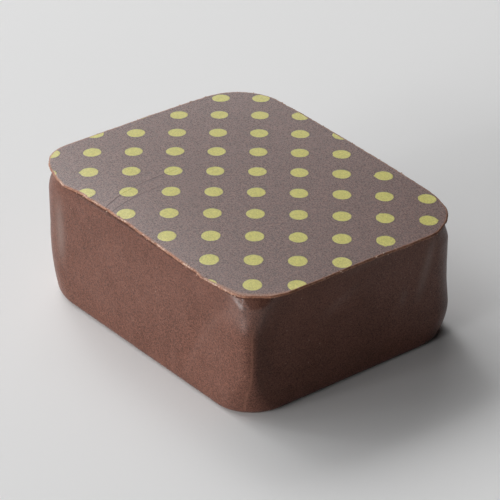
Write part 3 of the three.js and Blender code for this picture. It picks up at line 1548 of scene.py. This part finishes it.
@dataclass(frozen=True)
class LipCrumbs:
    """Loose crumbs that cling to the broken lip, most of them along the front."""

    top: TopForm
    count: int = 260
    smallest: float = 0.035
    largest: float = 0.10
    smallness: float = 2.5  # the higher, the fewer large ones
    front_facing: float = -0.3
    thinned: float = 0.55  # the share left out on the other sides
    inset: Span = (-0.02, 0.14)
    face_drops: tuple = (0.0, 0.0, 0.08)
    stretches: tuple = ((0.8, 1.6), (0.6, 1.0), (0.4, 0.75))
    lumpiness: float = 0.45
    lump_waves: float = 0.9
    lump_spread: float = 50.0
    seed: int = 5

    def build(self, finish: RawCrumb) -> bpy.types.Object:
        """Builds the crumbs as one piece.

        Args:
            finish: The crumbs' finish.

        Returns:
            The piece.
        """
        draw = random.Random(self.seed)
        rim = self.top.outline(0.0)
        outward = facings(rim)
        drops = (*self.face_drops, self.top.lip_thickness)
        mesh = bmesh.new()
        for _ in range(self.count):
            index = draw.randrange(len(rim))
            if outward[index].y > self.front_facing and draw.random() < self.thinned:
                continue
            size = mix(self.smallest, self.largest, draw.random() ** self.smallness)
            spot = rim[index] - outward[index] * draw.uniform(*self.inset)
            height = self.top.height(spot) - draw.choice(drops)
            self.add_crumb(mesh, raised(spot, height), size, draw)
        return finished_piece("lip_crumbs", mesh, finish.material())

    def add_crumb(
        self, mesh: bmesh.types.BMesh, spot: Vector, size: float, draw: random.Random
    ) -> None:
        """Adds one lumpy crumb.

        Args:
            mesh: The mesh that takes it.
            spot: Its middle.
            size: Its mean radius.
            draw: The source of its shape.
        """
        made = bmesh.ops.create_icosphere(mesh, subdivisions=2, radius=size)["verts"]
        turn = Matrix.Rotation(draw.uniform(0.0, math.tau), 4, "Z")
        stretch = Vector([draw.uniform(*span) for span in self.stretches])
        shift = Vector([draw.random() for _ in range(3)]) * self.lump_spread
        for vertex in made:
            wave = noise.noise(vertex.co / size * self.lump_waves + shift)
            vertex.co = turn @ (vertex.co * stretch) * (1.0 + self.lumpiness * wave) + spot


# Studio


def direction(azimuth: float, elevation: float) -> Vector:
    """Points away from the object, with azimuth 0 towards -Y and 90 towards +X.

    Args:
        azimuth: Degrees round Z.
        elevation: Degrees above the floor.

    Returns:
        The unit vector.
    """
    turn, rise = math.radians(azimuth), math.radians(elevation)
    level = math.cos(rise)
    return Vector((math.sin(turn) * level, -math.cos(turn) * level, math.sin(rise)))


@dataclass(frozen=True)
class SoftBox:
    """A square area light that faces the praline; its distance and side are metres."""

    name: str
    azimuth: float
    elevation: float
    radiance: float
    side: float = 0.42
    distance: float = 1.0

    def build(self, target: Vector) -> bpy.types.Object:
        """Places the light.

        Args:
            target: The point that it faces, in metres.

        Returns:
            The light's object.
        """
        light = bpy.data.lights.new(self.name, "AREA")
        light.shape = "SQUARE"
        light.size = self.side
        light.energy = self.radiance * math.pi * self.side**2
        lamp = linked(self.name, light)
        away = direction(self.azimuth, self.elevation)
        lamp.location = target + away * self.distance
        lamp.rotation_euler = away.to_track_quat("Z", "Y").to_euler()
        return lamp


@dataclass(frozen=True)
class Studio:
    """A pale floor, soft light and the camera of the photograph."""

    target: tuple = (9.230, -6.518, 12.078)
    azimuth: float = 52.631
    elevation: float = 30.135
    roll: float = -0.285
    distance: float = 241.2
    lens: float = 208.185
    sensor: float = 36.0
    clip_end: float = 20.0  # metres
    sky: Colour = (0.004, 0.004, 0.004, 1)
    floor_colour: Colour = (0.8, 0.8, 0.8, 1)
    floor_radius: float = 2.5  # metres
    floor_steps: int = 96
    light_target: tuple = (0.0, 0.0, 0.006)  # metres
    boxes: tuple = (
        SoftBox("low_front_right", 16.0, 12.0, 2.8),
        SoftBox("low_front", 2.0, 12.0, 8.8),
        SoftBox("low_front_left", -17.0, 12.0, 5.6),
        SoftBox("low_left_front", -42.0, 12.0, 1.7),
        SoftBox("low_left", -67.0, 12.0, 1.1),
        SoftBox("low_left_back", -97.0, 12.0, 2.4),
        SoftBox("low_back", -127.0, 12.0, 1.3),
        SoftBox("high_left_front", -42.0, 42.0, 2.4),
        SoftBox("high_left", -67.0, 42.0, 4.1),
        SoftBox("high_left_back", -97.0, 42.0, 5.7),
        SoftBox("high_back", -127.0, 42.0, 1.0),
        SoftBox("small_high_back", -112.0, 42.0, 4.4, 0.22),
        SoftBox("small_far_back", -127.0, 45.0, 1.6, 0.22),
        SoftBox("small_left", -82.0, 35.0, 1.5, 0.22),
        SoftBox("small_low_back", -112.0, 28.0, 2.5, 0.22),
        SoftBox("small_low_left", -97.0, 28.0, 1.5, 0.22),
        SoftBox("small_mirror", -127.0, 28.0, 0.5, 0.22),
    )

    def camera(self) -> bpy.types.Object:
        """Places the camera as the photograph's was.

        Returns:
            The camera.
        """
        data = bpy.data.cameras.new("photo_camera")
        data.lens = self.lens
        data.sensor_width = self.sensor
        data.clip_end = self.clip_end
        camera = linked("photo_camera", data)
        away = direction(self.azimuth, self.elevation)
        spot = Matrix.Translation(Vector(self.target) * MM + away * (self.distance * MM))
        aim = away.to_track_quat("Z", "Y").to_matrix().to_4x4()
        camera.matrix_world = spot @ aim @ Matrix.Rotation(math.radians(self.roll), 4, "Z")
        bpy.context.scene.camera = camera
        return camera

    def floor(self) -> bpy.types.Object:
        """Lays the pale floor.

        Returns:
            The floor.
        """
        mesh = bmesh.new()
        bmesh.ops.create_circle(
            mesh, cap_ends=True, segments=self.floor_steps, radius=self.floor_radius
        )
        data = bpy.data.meshes.new("floor")
        mesh.to_mesh(data)
        mesh.free()
        bench = Bench("pale_floor")
        bench.add_output(bench.add("ShaderNodeBsdfDiffuse", {"Color": self.floor_colour}))
        data.materials.append(bench.material)
        floor = linked("floor", data)
        return floor

    def sky_light(self) -> None:
        """Sets the even light of the room."""
        world = bpy.data.worlds.new("room")
        world.use_nodes = True
        world.node_tree.nodes["Background"].inputs["Color"].default_value = self.sky
        bpy.context.scene.world = world

    def build(self) -> None:
        """Sets up plain colour, the camera, the floor and the lights."""
        bpy.context.scene.view_settings.view_transform = "Standard"
        self.camera()
        self.floor()
        self.sky_light()
        for box in self.boxes:
            box.build(Vector(self.light_target))
        log.info("studio: %d soft boxes", len(self.boxes))


def main() -> None:
    """Builds the praline and the studio round it."""
    logging.basicConfig(level=logging.INFO, format="%(message)s")
    top = TopForm.from_frame()
    CoatedBody(top).build(DippedChocolate())
    PrintedPlate(top, cad_size("coated_body")[1].z).build(PrintedChocolate())
    LipCrumbs(top).build(RawCrumb())
    Studio().build()
    bpy.context.view_layer.update()


if __name__ == "__main__":
    main()
